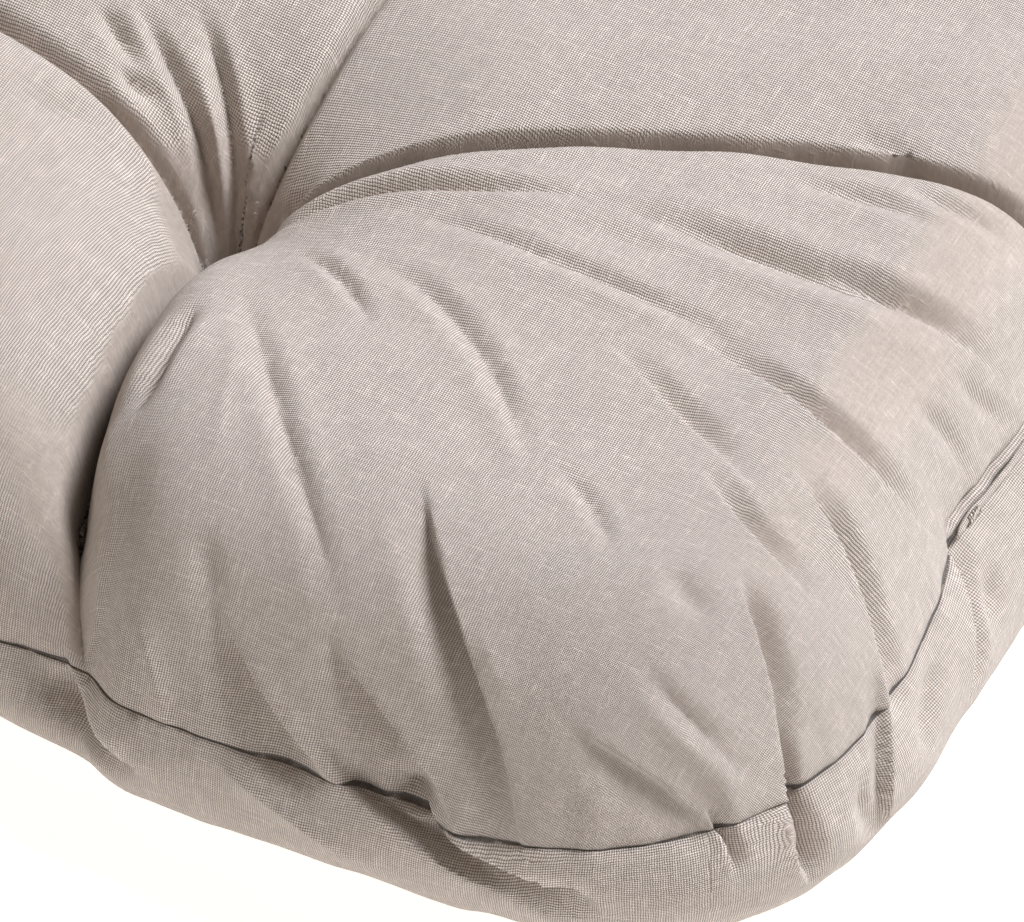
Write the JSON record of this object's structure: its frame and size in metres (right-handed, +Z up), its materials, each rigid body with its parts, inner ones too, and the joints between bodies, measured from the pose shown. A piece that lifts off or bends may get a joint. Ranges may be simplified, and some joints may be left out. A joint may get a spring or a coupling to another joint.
{
  "type": "bench cushion",
  "caption": "Long filled bench cushion, deeply tufted in two rows, with full lobes, a curved sewn border, rounded corners and a raised closing seam at one end.",
  "frame": {"origin": "the middle of the cushion's outline, at the surface that it rests on", "axes": "+X along the bench towards the end with the closing seam, +Y to the back, +Z up out of the top panel"},
  "size_m": [1.2003, 0.5054, 0.1015],
  "materials": {
    "canvas": "matte plain-weave cotton canvas, greige, with slubs",
    "canvas_edge": "the same canvas, turned in and overstitched"
  },
  "bodies": {
    "root": {"cushion": "canvas", "closing_lip": "canvas_edge"}
  },
  "joints": []
}
